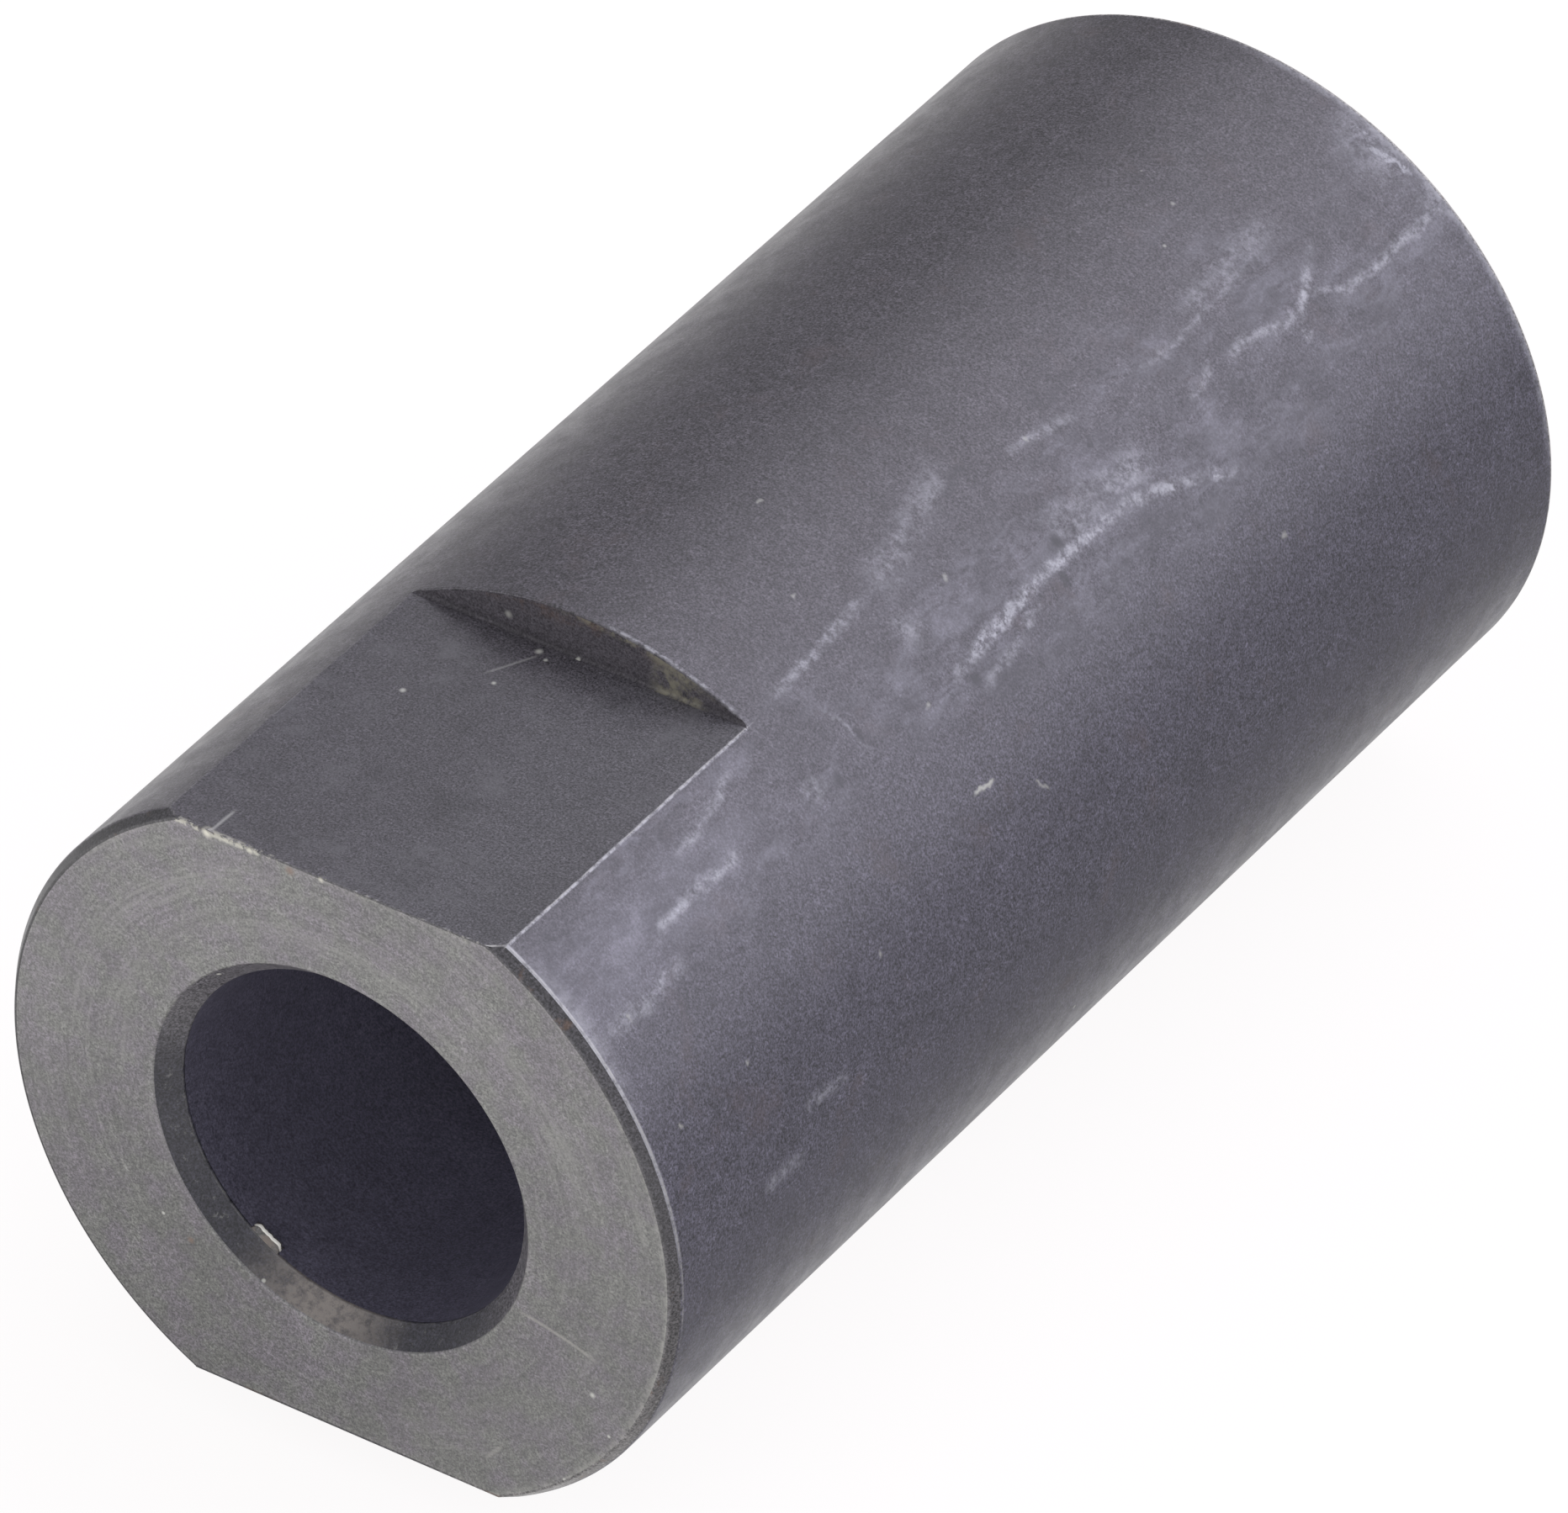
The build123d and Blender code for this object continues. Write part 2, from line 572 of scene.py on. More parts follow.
def worn_edge(s, strength=1.0, grain=0.8, least=0.0):
    """Bright metal along the worn edges, broken up, most of it on the upper right side.

    Only what is worn more than least shows.
    """
    edge = s.node("ShaderNodeAttribute", attribute_name="worn_edge").outputs["Fac"]
    patches = s.ramp(s.noise(grain, 5, 0.75), 0.34, 0.62)
    rubbed_way = s.vector("DOT_PRODUCT", s.place, (0.75 / OUTER_MM, 0, 0.66 / OUTER_MM))
    share = s.ramp(rubbed_way, 0.45, 0.95, 0.35 * strength, strength)
    return s.times(s.ramp(edge, least, 1.0), patches, share)


def beside(s, first, second, reach):
    """1 along the line where two lengths are both 0, fading over reach."""
    away = s.vector("LENGTH", s.combined(first, second))
    return s.ramp(away, 0.35 * reach, reach, 1, 0)


def beside_flat_sides(s, reach):
    """The flats' side edges, most of all the two on the rubbed side."""
    across = s.math("SUBTRACT", s.math("ABSOLUTE", s.x), FLAT_HALF_WIDTH_MM)
    up = s.math("SUBTRACT", s.math("ABSOLUTE", s.z), FLAT_MM)
    uneven = s.ramp(s.noise(2.4, 4, 0.8), 0.40, 0.60, 0.15, 1.0)
    before_step = s.ramp(s.y, STEP_MM - 0.2, STEP_MM, 1, 0)
    rubbed_side = s.ramp(s.x, -6.0, 6.0, 0.05, 1.0)
    return s.times(beside(s, across, up, reach), before_step, uneven, rubbed_side)


def front_burr_specks(s):
    """Torn bare crumbs over the face from the upper flat's front edge, thick near its left end."""
    line = beside(s, s.from_end, s.math("SUBTRACT", s.z, FLAT_MM - 0.07), 0.20)
    thick = s.times(s.ramp(s.x, -7.4, -6.4), s.ramp(s.x, -4.2, -1.6, 1.0, 0.15))
    level = s.ramp(thick, 0.0, 1.0, 0.60, 0.42)
    crumbs = s.ramp(s.math("SUBTRACT", s.noise(3.0, 4, 0.75), level), 0.0, 0.12)

    def clump(x, size, bright):
        return s.times(dot(s, s.place, (x, FRONT_MM, FLAT_MM - 0.12), size), bright)

    return s.greatest(
        s.times(line, crumbs, 0.6),
        clump(-5.50, 0.30, 1.0),
        clump(-4.93, 0.18, 0.6),
        clump(-4.43, 0.16, 0.5),
        clump(-3.60, 0.20, 0.8),
        clump(-0.43, 0.16, 0.7),
    )


# ---------------------------------------------------------------- the barrel


def unrolled_barrel(s, degrees):
    """The place along the barrel and round it from the upper flat's middle, in mm, a little shaken."""
    place = s.combined(s.from_end, s.times(degrees, math.radians(1) * OUTER_MM))
    for scale, reach in ((0.4, 0.8), (1.6, 0.35), (4.0, 0.28)):
        wave = s.node("ShaderNodeTexNoise", {"Vector": s.place, "Scale": scale}).outputs["Color"]
        sway = s.vector("SCALE", s.vector("SUBTRACT", wave, (0.5, 0.5, 0.5)), Scale=reach)
        place = s.vector("ADD", place, s.vector("MULTIPLY", sway, (1, 1, 0)))
    return place


def barrel_scuffs(s, unrolled, crumbs):
    """The scuffs that can be told apart, most on the rubbed side: crumbly, each with its own brightness."""

    def mark(bright, along, arc, way, half_length, width, bend=0.0):
        return s.times(stroke(s, unrolled, (along, arc), way, half_length, width, bend), bright)

    def patch(bright, along, arc, size):
        return s.times(dot(s, unrolled, (along, arc), size), bright)

    long_scuff = [
        mark(1.2, 30.0, 11.10, -4.3, 5.6, 0.46, 0.0095),
        mark(1.0, 38.0, 11.45, 11.3, 6.0, 0.42, 0.02),
        mark(0.6, 28.4, 12.30, -12, 2.8, 0.40),
        mark(0.50, 36.5, 10.3, 3, 3.8, 1.3),
    ]
    from_the_step = [
        mark(0.62, 21.0, 7.4, -4, 4.0, 0.36),
        mark(0.42, 28.6, 6.3, -14, 4.2, 1.1),
        mark(0.50, 36.8, 7.1, 12, 2.4, 0.34),
        mark(0.42, 46.5, 7.9, -5, 5.0, 0.36, -0.02),
        patch(0.45, 24.9, 9.2, 1.1),
        patch(0.50, 16.3, 11.2, 0.8),
        mark(0.38, 19.4, 10.2, 80, 1.4, 0.18),
    ]
    branching = [
        mark(0.35, 49.5, 7.1, -4, 4.0, 1.1),
        mark(0.6, 44.2, 9.7, -14, 1.2, 0.32),
        mark(0.7, 48.2, 9.85, 10, 2.6, 0.40, 0.05),
        mark(0.9, 51.6, 9.6, -33, 2.4, 0.34),
        mark(0.8, 50.0, 10.7, 84, 0.9, 0.30),
        mark(0.6, 52.4, 10.5, 26, 1.1, 0.26),
        mark(0.65, 56.6, 10.9, -1, 4.8, 0.42),
    ]
    beside_the_flat = [
        mark(0.65, 8.7, 11.0, -3, 3.4, 0.40, 0.02),
        mark(0.55, 3.8, 12.7, -1, 3.0, 0.60),
        mark(0.55, 11.5, 9.3, -12, 2.8, 0.34, -0.04),
    ]
    at_the_far_rim = [
        mark(1.5, 59.3, 8.2, 70, 1.3, 0.26),
        mark(1.0, 59.4, 6.7, 60, 0.5, 0.26),
        patch(0.45, 59.4, 7.6, 2.4),
        patch(0.55, 59.8, 10.7, 1.4),
    ]
    low_brush_marks = [
        mark(0.50, 10.3, 20.7, 6, 1.5, 0.55),
        mark(0.50, 7.2, 22.4, 4, 1.5, 0.50),
    ]
    groups = (long_scuff, from_the_step, branching, beside_the_flat, at_the_far_rim, low_brush_marks)
    marks = s.greatest(*[mask for group in groups for mask in group])
    torn = s.ramp(s.noise(3.0, 4, 0.75), 0.38, 0.60, 0.15, 0.85)
    broken = s.math("MULTIPLY_ADD", crumbs, 0.35, torn)
    patches = s.ramp(s.noise(0.75, 5, 0.7), 0.36, 0.58, 0.30, 1.15)
    return s.times(marks, s.times(broken, patches))


def barrel_dust(s, unrolled):
    """Dust on the barrel, one flake of it much the largest."""
    low_side = [(2.6, 12.8), (15.1, 17.7), (6.7, 17.3), (2.3, 17.3), (43.5, 16.2), (23.2, 11.6)]
    upper_side = [(28.0, 8.6), (35.9, 6.9), (50.3, 3.9), (22.3, 5.3), (25.6, 1.6)]
    dots = [dot(s, unrolled, middle, 0.17) for middle in low_side + upper_side]
    flake = stroke(s, unrolled, (23.6, 15.5), 8, 0.75, 0.17)
    thread = stroke(s, unrolled, (26.2, 17.1), 50, 0.5, 0.12)
    return s.greatest(s.times(s.greatest(*dots), 0.55), flake, s.times(thread, 0.5))


def barrel_edges(s, degrees):
    """Pale edges of the barrel: the rubbed front rim with a painted highlight on the skin behind it, the
    rubbed sides of the flats, and a painted reflection along the far rim.
    """
    behind_front = s.math("SUBTRACT", s.from_end, FRONT_CHAMFER_Y / MM)
    before_back = s.math("SUBTRACT", LENGTH_MM - BACK_CHAMFER / MM, s.from_end)
    behind_step = s.math("SUBTRACT", s.y, STEP_MM)
    front_line = s.times(
        s.ramp(behind_front, 0.0, 0.12, 1, 0),
        s.window(degrees, 26, 82, 6),
        s.ramp(degrees, 50, 66, 1.0, 0.6),
    )
    # Painted highlight: a pale haze on the skin just behind the front rim.
    painted_rim_highlight = s.times(s.ramp(behind_front, 0.0, 1.0, 0.42, 0), s.window(degrees, 36, 55, 9))
    # Painted reflection: a pale band just before the far rim, for the bright backdrop it reflects.
    painted_far_rim_reflection = s.times(s.ramp(before_back, 0.05, 0.5, 0.6, 0), s.window(degrees, 5, 85, 10))
    step_line = s.times(
        s.window(behind_step, 0.0, 0.16, 0.06),
        s.window(degrees, 4, 28, 5),
        s.ramp(s.noise(2.2, 3, 0.7), 0.42, 0.58, 0.1, 0.7),
    )
    uneven = s.ramp(s.noise(2.0, 5, 0.8), 0.38, 0.60, 0.30, 1.0)
    lines = s.greatest(front_line, painted_rim_highlight, painted_far_rim_reflection, step_line)
    return s.greatest(s.times(lines, uneven), beside_flat_sides(s, 0.11))


def barrel_rubbing(s, side, near_front, crumbs):
    """Where the oxide is rubbed thin: clusters drawn out along the barrel, and all of it near the front."""
    drawn = s.noise(0.9, 6, 0.64, at=s.stretched(1.2, 0.50, 1.2), Distortion=0.8)
    drawn = s.ramp(drawn, 0.40, 0.64)
    clusters = s.ramp(s.noise(0.30, 4, 0.6, at=s.stretched(1, 0.6, 1)), 0.42, 0.60, 0.25, 1.0)
    mixed = s.math("MULTIPLY_ADD", drawn, 0.7, s.times(crumbs, 0.3))
    in_front = s.times(near_front, s.math("MULTIPLY_ADD", drawn, 0.5, 0.5))
    return s.greatest(s.times(side, clusters, mixed), in_front)


def barrel_shade(s, side, near_front):
    """Marbling, most of it on the rubbed side, with a fine grain over it, lighter near the front."""
    marbled = s.ramp(s.noise(0.9, 6, 0.72, at=s.stretched(1, 0.55, 1)), 0.34, 0.66, 0.80, 1.20)
    how_much = s.ramp(side, 0.0, 1.0, 0.25, 1.0)
    marbled = s.math("MULTIPLY_ADD", s.math("SUBTRACT", marbled, 1.0), how_much, 1.0)
    grain = s.ramp(s.noise(9.0, 2), 0.0, 1.0, 0.62, 1.38)
    return s.times(marbled, grain, s.math("MULTIPLY_ADD", near_front, 0.28, 1.0))


def barrel_pits(s, side, unrolled):
    """Small dark pits all over the rubbed side, and four larger dark marks."""
    small = s.times(side, s.ramp(s.noise(1.0, 3), 0.66, 0.72, 0.0, 0.7))
    places = (((33.4, 10.4), 0.50, 0.9), ((17.5, 11.6), 0.45, 0.8), ((25.8, 12.2), 0.40, 0.8))
    large = [s.times(dot(s, unrolled, middle, size), deep) for middle, size, deep in places]
    smudge = s.times(stroke(s, unrolled, (32.0, 6.2), -10, 1.2, 0.35), 0.6)
    return s.greatest(small, *large, smudge)


def barrel_material():
    """Turned outside: blue-black, rubbed pale along one side where it has rolled against other parts."""
    s = Shader("oxide_barrel")
    degrees = s.degrees_round(s.x, s.z)
    unrolled = unrolled_barrel(s, degrees)
    leaning = s.math("ADD", degrees, s.ramp(s.noise(0.12, 3), 0.25, 0.75, -9, 9))
    side = s.times(s.ramp(leaning, 16, 36), s.ramp(leaning, 40, 53, 1, 0))
    near_front = s.times(s.ramp(s.from_end, 8.0, 17.0, 0.85, 0.0), s.window(degrees, 35, 46, 7))
    crumbs = s.ramp(s.noise(1.5, 5, 0.62, Distortion=1.0), 0.42, 0.64)
    smears = s.noise(0.45, 6, 0.7, at=s.moved(s.stretched(1, 0.4, 1), 7.0))
    dulled = s.times(side, s.ramp(smears, 0.52, 0.66, 0.0, 0.65))
    stained = s.ramp(s.noise(0.33, 5, 0.65, at=s.moved(s.place, 40.0)), 0.56, 0.72, 0.0, 0.4)

    # Towards the right side the oxide is bluer, and painted a little lighter there as light.
    base = mottled(s, s.mix(s.ramp(degrees, 20, 75), BARREL_TOP, BARREL_SIDE_BLUER_AND_LIT))
    base = s.mix(stained, base, BARREL_STAIN)
    base = s.mix(barrel_rubbing(s, side, near_front, crumbs), base, BARREL_RUBBED)
    base = s.mix(dulled, base, BARREL_SMEAR)
    base = s.mix(barrel_scuffs(s, unrolled, crumbs), base, BARREL_SCUFF)
    base = s.scaled(base, barrel_shade(s, side, near_front))
    base = s.mix(barrel_pits(s, side, unrolled), base, PIT)
    base = s.mix(barrel_edges(s, degrees), base, BARREL_EDGE)

    lathe = s.noise(1.0, 2, at=s.stretched(0.05, 7.0, 0.05))
    bump = s.math("ADD", fine_grain(s), s.times(lathe, 0.3))
    dust = s.greatest(specks(s, 2.4, 0.16, 0.35), barrel_dust(s, unrolled))
    return finish_oxide(s, base, worn_edge(s, 0.7, 2.4, 0.4), dust, bump)


# ---------------------------------------------------------------- the end faces


def turned_rings(s, radius):
    """Fine lathe rings, as numbers around 0.5."""
    fine = {"W": radius, "Scale": 3.2, "Detail": 2, "Roughness": 0.8}
    return s.node("ShaderNodeTexNoise", fine, noise_dimensions="1D").outputs[0]


def brushed_arcs(s, radius, angle):
    """Pale arcs brushed round the bore: broken ones, most in the upper half, and a few that stand out."""
    degrees = s.times(angle, math.degrees(1))
    drawn = s.combined(s.times(radius, 2.6), s.times(angle, 1.6))
    broken = s.ramp(s.noise(1.0, 5, 0.8, at=s.vector("SCALE", drawn, Scale=2.2)), 0.40, 0.62)

    def arc(bright, middle, half_width, start, end):
        ring = s.window(radius, middle - half_width, middle + half_width, 0.4)
        return s.times(ring, s.window(degrees, start, end, 14), bright)

    standing = s.greatest(
        arc(0.5, 10.0, 0.5, 55, 118),
        arc(0.55, 12.2, 0.5, 105, 150),
        arc(0.5, 11.2, 0.6, 10, 60),
        arc(0.35, 10.4, 0.4, 120, 175),
        arc(0.30, 11.9, 1.1, -78, -48),
    )
    wide = s.ramp(s.noise(1.0, 6, 0.75, at=drawn), 0.48, 0.72)
    upper = s.ramp(s.z, -9.0, 5.0, 0.35, 0.85)
    left_patch = s.times(s.window(radius, 11.8, 14.4, 0.8), s.ramp(s.x, -14.0, -9.0, 0.10, 0.0))
    return s.greatest(s.times(wide, upper, 0.6), s.times(standing, broken), left_patch)


def face_rubbing(s, radius, lower_right):
    """The face's rim, rubbed at the lower right, and the strip beside each flat."""
    rim = s.times(s.ramp(radius, 14.25, 14.68), s.ramp(lower_right, 4.0, 11.0, 0.12, 0.75))
    by_flat = s.ramp(s.math("ABSOLUTE", s.z), 12.5, 12.95, 0.0, 0.30)
    return s.times(s.greatest(rim, by_flat), s.ramp(s.noise(2.5, 4, 0.7), 0.34, 0.62))


def face_marks(s):
    """Two scratches, which show on both end faces, and rust dots and a grain of dust on the front one."""
    on_face = s.combined(s.x, s.z)
    long_scratch = stroke(s, on_face, (9.7, -3.9), -14, 2.0, 0.13, -0.03)
    short_scratch = stroke(s, on_face, (6.7, -10.9), 50, 0.7, 0.14)
    scratches = s.greatest(s.times(long_scratch, 0.6), s.times(short_scratch, 0.4))
    by_the_flat = dot(s, s.place, (-1.82, FRONT_MM, 12.7), 0.28)
    lower_left = dot(s, s.place, (-6.9, FRONT_MM, -6.9), 0.2)
    rust = s.times(s.greatest(by_the_flat, lower_left), 0.8)
    return scratches, rust, dot(s, s.place, (11.2, FRONT_MM, -6.1), 0.16)


def face_material():
    """Faced ends: thinner, greyer oxide over fine rings and brushed arcs left by the lathe tool, with
    painted shade towards the lower right.
    """
    s = Shader("oxide_face")
    radius = s.vector("LENGTH", s.stretched(1, 0, 1))
    angle = s.math("ARCTAN2", s.z, s.x)
    rings = turned_rings(s, radius)
    lower_right = s.vector("DOT_PRODUCT", s.place, (0.87, 0, -0.50))
    scratches, rust, grain_of_dust = face_marks(s)

    tint = s.ramp(s.noise(0.7, 4, 0.6), 0.38, 0.62)
    clouds = s.ramp(s.noise(0.35, 4, 0.6), 0.3, 0.7, 0.90, 1.08)
    # Painted shade: the face is darker towards its lower right, standing in for the shaded floor it reflects
    # there.
    painted_shade_lower_right = s.ramp(lower_right, 2.0, 11.0, 1.0, 0.84)
    base = s.scaled(mottled(s, s.mix(tint, FACE_VIOLET, FACE_GREEN)), s.times(clouds, painted_shade_lower_right))
    patchy = s.ramp(s.noise(0.16, 3), 0.38, 0.62, 0.3, 1.1)
    base = s.scaled(base, s.math("MULTIPLY_ADD", s.math("SUBTRACT", rings, 0.5), patchy, 1.0))
    base = s.mix(brushed_arcs(s, radius, angle), base, FACE_BRUSHED)
    base = s.mix(face_rubbing(s, radius, lower_right), base, FACE_RIM)
    base = s.mix(front_burr_specks(s), base, BURR)
    base = s.mix(scratches, s.mix(rust, base, RUST), FACE_SCRATCH)

    dust = s.greatest(specks(s, 2.0, 0.12, 0.25), grain_of_dust)
    bump = s.math("ADD", fine_grain(s), s.times(rings, 1.2))
    return finish_oxide(s, base, worn_edge(s, 0.6, 2.5), dust, bump, roughness=0.40, ior=2.0)


# ---------------------------------------------------------------- the wrench flats and their steps


def flat_material():
    """Milled wrench flats: dark and even, with cutter lines, smears, a nick by the burr and some dust."""
    s = Shader("oxide_flat")
    top = s.combined(s.x, s.from_end)
    nick = s.times(stroke(s, top, (-5.35, 0.5), 88, 1.2, 0.12), 0.6)
    scratch = s.times(stroke(s, top, (-1.9, 14.3), 62, 1.3, 0.10), 0.35)
    spots = (((-4.35, 10.8), 0.17), ((-1.5, 15.5), 0.20), ((-1.8, 13.0), 0.13), ((-1.0, 15.2), 0.12))
    dust = s.greatest(specks(s, 2.2, 0.14, 0.30), *[dot(s, top, middle, size) for middle, size in spots])

    smear = s.ramp(s.noise(0.35, 5, 0.6, at=s.stretched(1, 1.4, 1)), 0.52, 0.72, 1.0, 0.78)
    haze = s.ramp(s.noise(0.5, 6, 0.75), 0.50, 0.68, 0.0, 0.6)
    base = s.mix(s.ramp(s.x, -2.0, 5.0), FLAT_LEFT, FLAT_RIGHT)
    base = s.scaled(mottled(s, base), smear)
    base = s.mix(haze, base, FLAT_HAZE)
    base = s.mix(s.greatest(nick, scratch), base, FLAT_SCRATCH)
    base = s.mix(beside_flat_sides(s, 0.09), base, FLAT_SIDE_EDGE)
    base = s.mix(front_burr_specks(s), base, BURR)

    cutter = s.noise(1.0, 2, at=s.stretched(0.1, 3.0, 0.1))
    bump = s.math("ADD", fine_grain(s), s.times(cutter, 0.25))
    return finish_oxide(s, base, worn_edge(s), dust, bump)


def step_material():
    """Wall of the step that ends each flat: dull, with painted shade at its foot, rubbed to tan near its
    right end, where a painted highlight of the fillet lies too.
    """
    s = Shader("oxide_step")
    height = s.math("SUBTRACT", s.math("ABSOLUTE", s.z), FLAT_MM)
    below_top = s.math("SUBTRACT", OUTER_MM, s.vector("LENGTH", s.stretched(1, 0, 1)))
    # Painted shade: the wall is made darker near its foot, where it meets the flat.
    painted_foot_shade = s.ramp(height, 0.05, 0.50, 0.75, 1.0)
    # A tan streak near the right end: partly rubbed oxide, partly a painted highlight of the fillet at the
    # foot.
    tan_wear_and_painted_highlight = s.times(s.window(s.x, 3.4, 5.4, 0.5), s.ramp(s.noise(1.6, 4, 0.65), 0.36, 0.60), 0.8)
    rusty = s.times(s.ramp(height, 0.9, 1.8), s.ramp(s.noise(1.3, 4, 0.7), 0.45, 0.65, 0.0, 0.35))
    top_edge = s.times(
        s.ramp(below_top, 0.10, 0.40, 1, 0),
        s.window(s.x, -0.3, 5.5, 1.2),
        s.ramp(s.noise(1.9, 4, 0.75), 0.42, 0.58),
        0.9,
    )
    base = s.scaled(mottled(s, STEP_WALL, 0.6), painted_foot_shade)
    base = s.mix(rusty, s.mix(tan_wear_and_painted_highlight, base, TAN), RUST)
    base = s.mix(top_edge, base, TAN)
    speck = dot(s, s.place, (-3.2, STEP_MM, 13.7), 0.22)
    dust = s.greatest(specks(s, 1.2, 0.16, 0.25), s.times(speck, 0.6))
    return finish_oxide(s, base, worn_edge(s, 0.3), dust, roughness=0.6, ior=1.4)


# ---------------------------------------------------------------- the chamfers, the mouths and the bore


def chamfer_material():
    """Small turned chamfers round the outer rims: dark, paler at the lower right, and pale at the plain end
    as a painted reflection.
    """
    s = Shader("oxide_chamfer")
    rusty = s.ramp(s.noise(0.9, 4, 0.65), 0.6, 0.72, 0.0, 0.5)
    left = s.ramp(s.x, -12.0, -4.0, 1.0, 0.0)
    lower_right = s.times(s.ramp(s.z, -9.0, 5.0, 1, 0), s.ramp(s.x, 2.0, 8.0))
    base = s.mix(left, CHAMFER_TOP, CHAMFER_DARK)
    base = s.mix(lower_right, base, CHAMFER_LOW)
    # Painted reflection: the chamfer at the plain end is pale, for the bright backdrop it reflects.
    base = s.mix(s.ramp(s.y, 0.0, 1.0), base, CHAMFER_BACK_REFLECTION)
    base = s.mix(rusty, mottled(s, base), RUST)
    base = s.mix(front_burr_specks(s), base, BURR)
    return finish_oxide(s, base, worn_edge(s, 0.7, 2.4, 0.4), specks(s, 1.5, 0.1, 0.2), ior=1.6)


def mouth_material():
    """Chamfered mouths of the bore: brushed paler and browner along one stretch, grit stuck to the rest."""
    s = Shader("oxide_mouth")
    degrees = s.degrees_round(s.z, s.x)
    brushed = s.ramp(s.noise(2.2, 5, 0.75), 0.34, 0.58, 0.35, 1.0)
    pale = s.times(s.window(degrees, -116, -82, 14), brushed)
    right = s.window(degrees, -34, 165, 16)
    grit = s.ramp(s.noise(2.2, 5, 0.8), 0.58, 0.68, 0.0, 0.7)
    base = mottled(s, s.mix(right, MOUTH_DARK, MOUTH_RIGHT))
    base = s.mix(pale, base, MOUTH_PALE)
    base = s.mix(grit, base, MOUTH_GRIT)
    return finish_oxide(s, base, worn_edge(s, 0.5, 2.0), specks(s, 0.9, 0.14, 0.45), ior=1.55)


def bore_material():
    """Smooth inside of the bore, deep blue-black, with painted light that makes it paler deeper in."""
    s = Shader("oxide_bore")
    # Painted light: the colour is raised deeper in the bore, against the shade in there.
    painted_light_deeper = s.ramp(s.from_end, 3.0, 13.0, 1.0, 1.5)
    base = s.scaled(mottled(s, BORE_WALL, 0.6), painted_light_deeper)
    return finish_oxide(s, base, worn_edge(s, 0.1), specks(s, 3.0, 0.05, 0.1))


def burr_side_material():
    """Torn side of the mouth's burr, brownish where the oxide has not taken."""
    s = Shader("burr_side")
    base = s.mix(s.ramp(s.noise(3.0, 4), 0.4, 0.6), mottled(s, BURR_DARK), BURR_BROWN)
    return finish_oxide(s, base, dust=specks(s, 0.8, 0.05, 0.2))


def burr_crest_material():
    """Bare metal on the burr's crest, painted near white as a highlight."""
    s = Shader("burr_crest")
    # Painted highlight: the bare crest is made near white for the light it catches.
    base = s.scaled(BURR_CREST_BARE_AND_HIGHLIGHT, s.ramp(s.noise(4.0, 4), 0.3, 0.7, 0.8, 1.0))
    return finish_oxide(s, base, roughness=0.45)


# ---------------------------------------------------------------- the pieces

sleeve = add(bpy.data.objects.new("sleeve", sleeve_mesh()))
clean(sleeve.data)
makers = {
    "mouth": mouth_material,
    "face": face_material,
    "chamfer": chamfer_material,
    "flat": flat_material,
    "step": step_material,
    "barrel": barrel_material,
    "bore": bore_material,
}
for zone in ZONES:
    sleeve.data.materials.append(makers[zone]())
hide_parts("coupling_sleeve")

mouth_burr = add(bpy.data.objects.new("mouth_burr", mouth_burr_mesh()))
clean(mouth_burr.data)
mouth_burr.data.materials.append(burr_side_material())
mouth_burr.data.materials.append(burr_crest_material())

for piece in (sleeve, mouth_burr):
    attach(piece, "root")

# ---------------------------------------------------------------- floor, light and camera


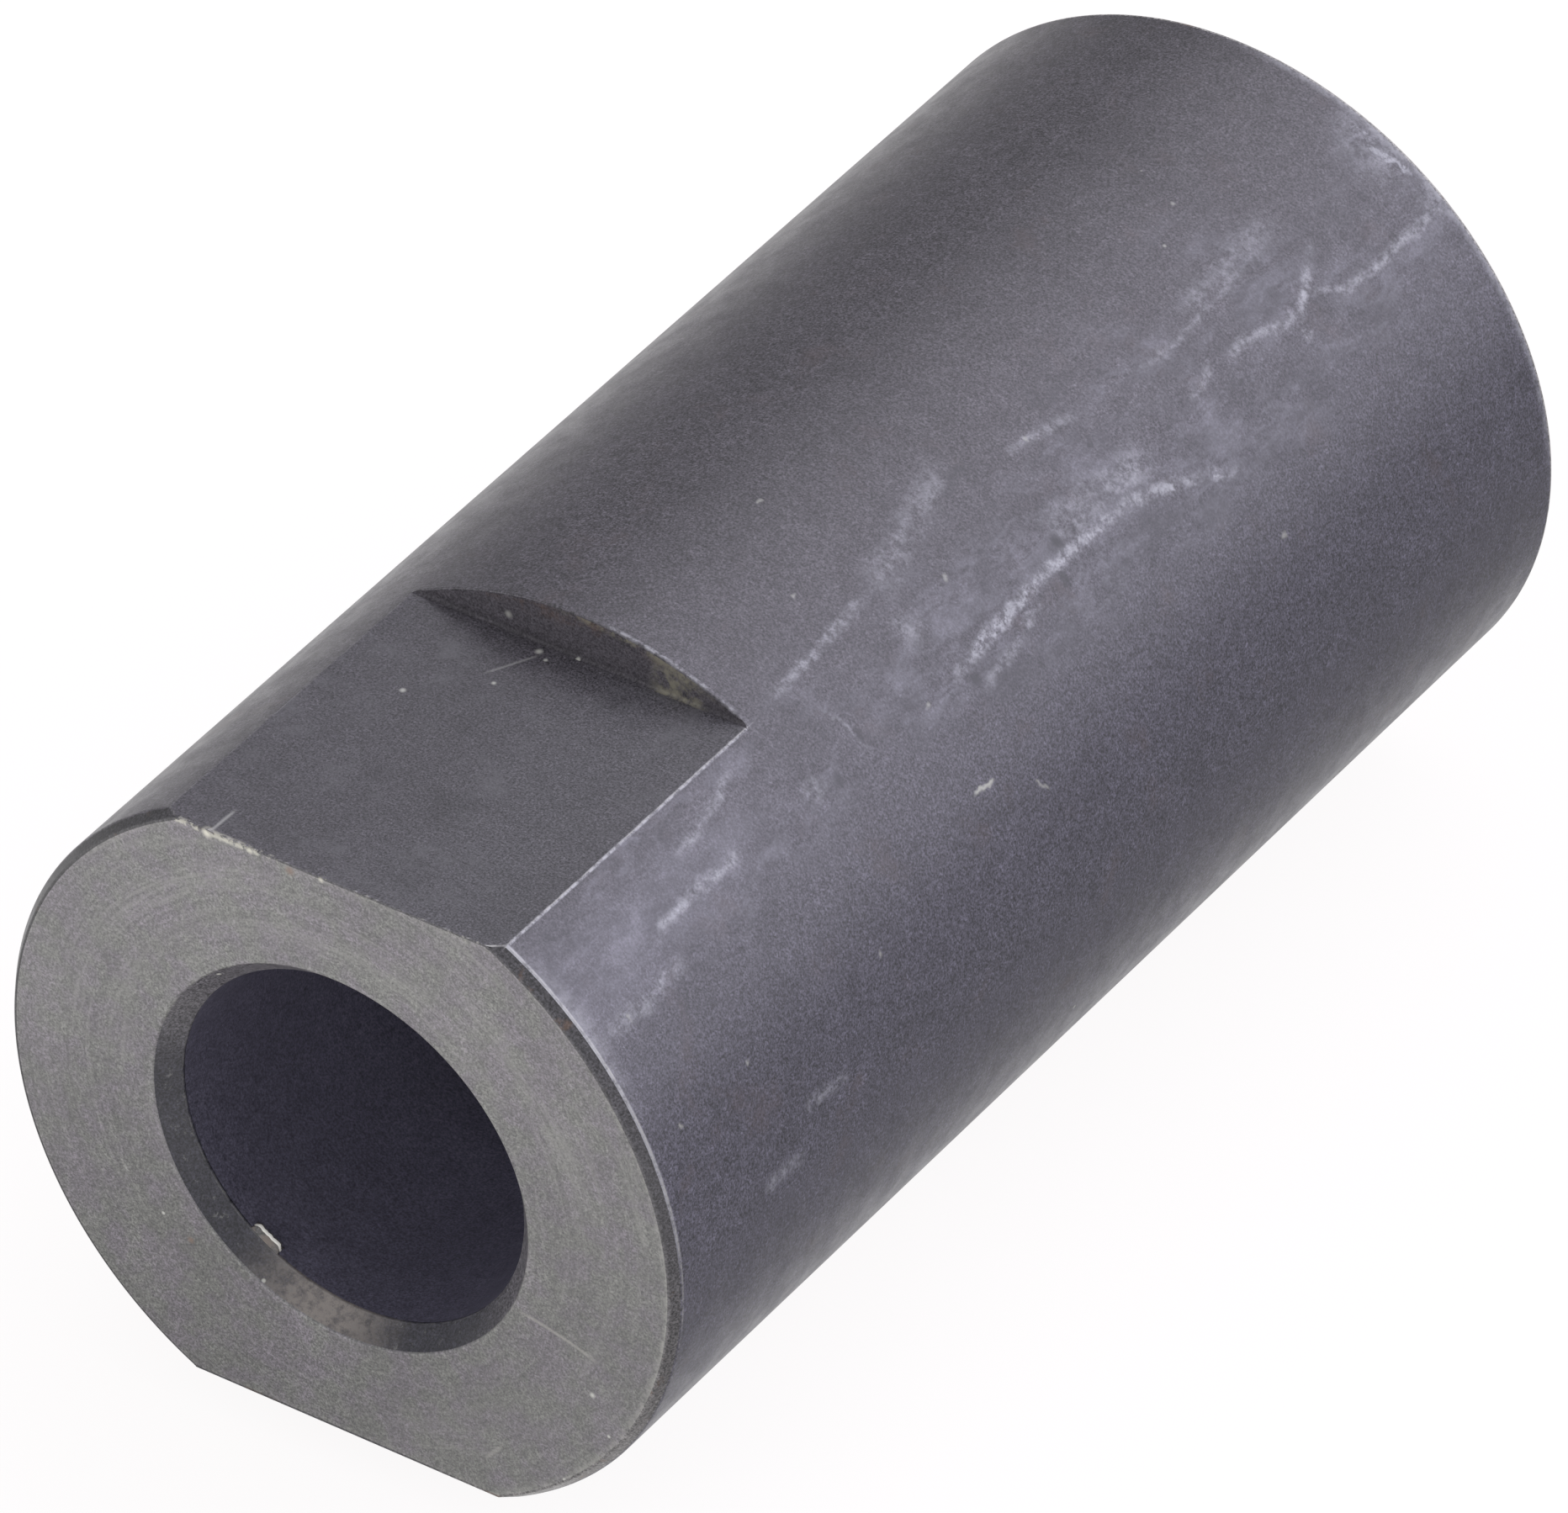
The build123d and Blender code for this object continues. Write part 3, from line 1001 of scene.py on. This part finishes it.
def floor_material():
    """Glows like a light table: white to the eye, and as light on the sleeve brightest in front, with a
    painted shadow before the front face.
    """
    s = Shader("pale_floor")
    far_left = s.ramp(s.x, -9.0 * OUTER_MM, -3.0 * OUTER_MM, GLOW_FAR_LEFT, GLOW_BESIDE)
    sideways = s.ramp(s.x, 0.5 * OUTER_MM, 1.4 * OUTER_MM, far_left, GLOW_RIGHT)
    in_front = s.ramp(s.y, *FRONT_GLOW_Y, sideways, GLOW_FRONT)
    # Painted shadow: the glow is dimmed in a patch before the front face, as the sleeve's shade on the
    # floor.
    from_shadow_patch = s.vector("LENGTH", s.vector("SUBTRACT", s.place, SHADOW_PATCH_MIDDLE))
    glow_with_painted_shadow = s.times(in_front, s.ramp(from_shadow_patch, *SHADOW_PATCH_REACH, SHADOW_PATCH_SHARE, 1.0))
    seen = s.node("ShaderNodeLightPath").outputs["Is Camera Ray"]
    s.feed("Emission Strength", s.ramp(seen, 0.0, 1.0, glow_with_painted_shadow, GLOW_SEEN))
    s.set("Emission Color", (*FLOOR_TINT, 1))
    s.set("Base Color", (*FLOOR_GREY, 1))
    s.set("Roughness", 0.9)
    s.set("Specular IOR Level", 0.0)
    return s.material


def make_floor():
    """One large pale square, just touching the sleeve's lowest line."""
    half = FLOOR_HALF_SIDE
    corners = [(-half, -half, 0), (half, -half, 0), (half, half, 0), (-half, half, 0)]
    mesh = bpy.data.meshes.new("floor")
    mesh.from_pydata(corners, [], [(0, 1, 2, 3)])
    mesh.materials.append(floor_material())
    floor = add(bpy.data.objects.new("floor", mesh))
    floor.location.z = -OUTER_R


def make_world():
    """Soft studio light all round, brighter towards the key and the front, and white to the eye."""
    world = bpy.data.worlds.new("studio")
    bpy.context.scene.world = world
    world.use_nodes = True
    n = Nodes(world.node_tree)
    way = n.node("ShaderNodeTexCoord").outputs["Generated"]
    towards_key = n.vector("DOT_PRODUCT", way, tuple(Vector(KEY_WAY).normalized()))
    key = n.ramp(towards_key, *KEY_SPREAD, 0.0, KEY)
    towards_front = n.vector("DOT_PRODUCT", way, (0.0, -1.0, 0.0))
    front = n.ramp(towards_front, -0.1, 0.9, STUDIO_GREY, STUDIO_FRONT)
    light = n.math("ADD", key, front)
    tint = n.mix(n.math("DIVIDE", key, KEY), STUDIO_TINT, KEY_TINT)
    seen = n.node("ShaderNodeLightPath").outputs["Is Camera Ray"]
    background = n.tree.nodes["Background"]
    n.tree.links.new(n.ramp(seen, 0.0, 1.0, light, 1.0), background.inputs["Strength"])
    n.tree.links.new(n.mix(seen, tint, (1.0, 1.0, 1.0)), background.inputs["Color"])


def make_camera():
    """A long lens about 0.65 m from the sleeve, above it and to the right of its wrench-flat end."""
    data = bpy.data.cameras.new("camera")
    data.sensor_width = 36
    data.lens = CAMERA_LENS
    data.clip_start = 0.05
    data.clip_end = 50
    camera = add(bpy.data.objects.new("camera", data))
    camera.location = Vector(CAMERA_PLACE) * OUTER_R
    camera.rotation_euler = [math.radians(d) for d in CAMERA_TURN]
    bpy.context.scene.camera = camera


make_floor()
make_world()
make_camera()
bpy.context.scene.view_settings.view_transform = "Standard"
